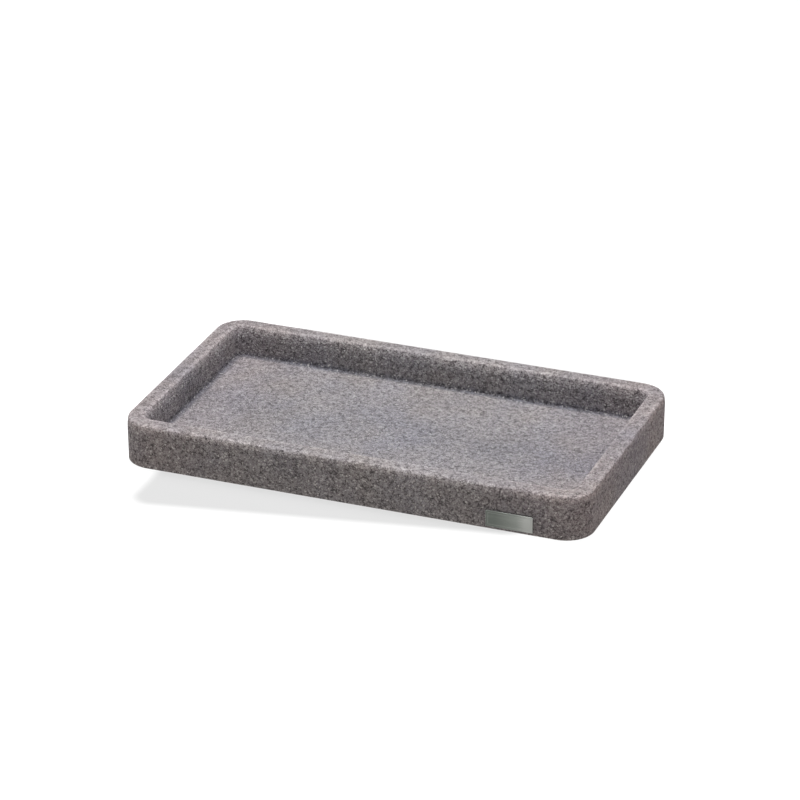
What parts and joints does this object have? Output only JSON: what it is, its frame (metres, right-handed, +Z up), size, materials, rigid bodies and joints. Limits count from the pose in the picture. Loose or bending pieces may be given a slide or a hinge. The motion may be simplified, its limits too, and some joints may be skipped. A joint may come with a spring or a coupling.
{
  "type": "rectangular tray",
  "caption": "Shallow rectangular tray with a wide flat rim, round corners and a flat recessed floor, for keeping small items together on a washstand or table.",
  "frame": {"origin": "on the surface that the tray stands on, under the middle of its plan", "axes": "+X along the length, towards the tray's right end as seen from the side with the plate; +Y across the width, away from the plate; +Z up"},
  "size_m": [0.27, 0.1527, 0.028],
  "materials": {
    "cast_stone": "matte",
    "plate_steel": "satin",
    "foot_rubber": "matte"
  },
  "bodies": {
    "root": {"tray_body": "cast_stone", "badge_plate": "plate_steel", "foot_front_left": "foot_rubber", "foot_front_right": "foot_rubber", "foot_rear_left": "foot_rubber", "foot_rear_right": "foot_rubber"}
  },
  "joints": []
}
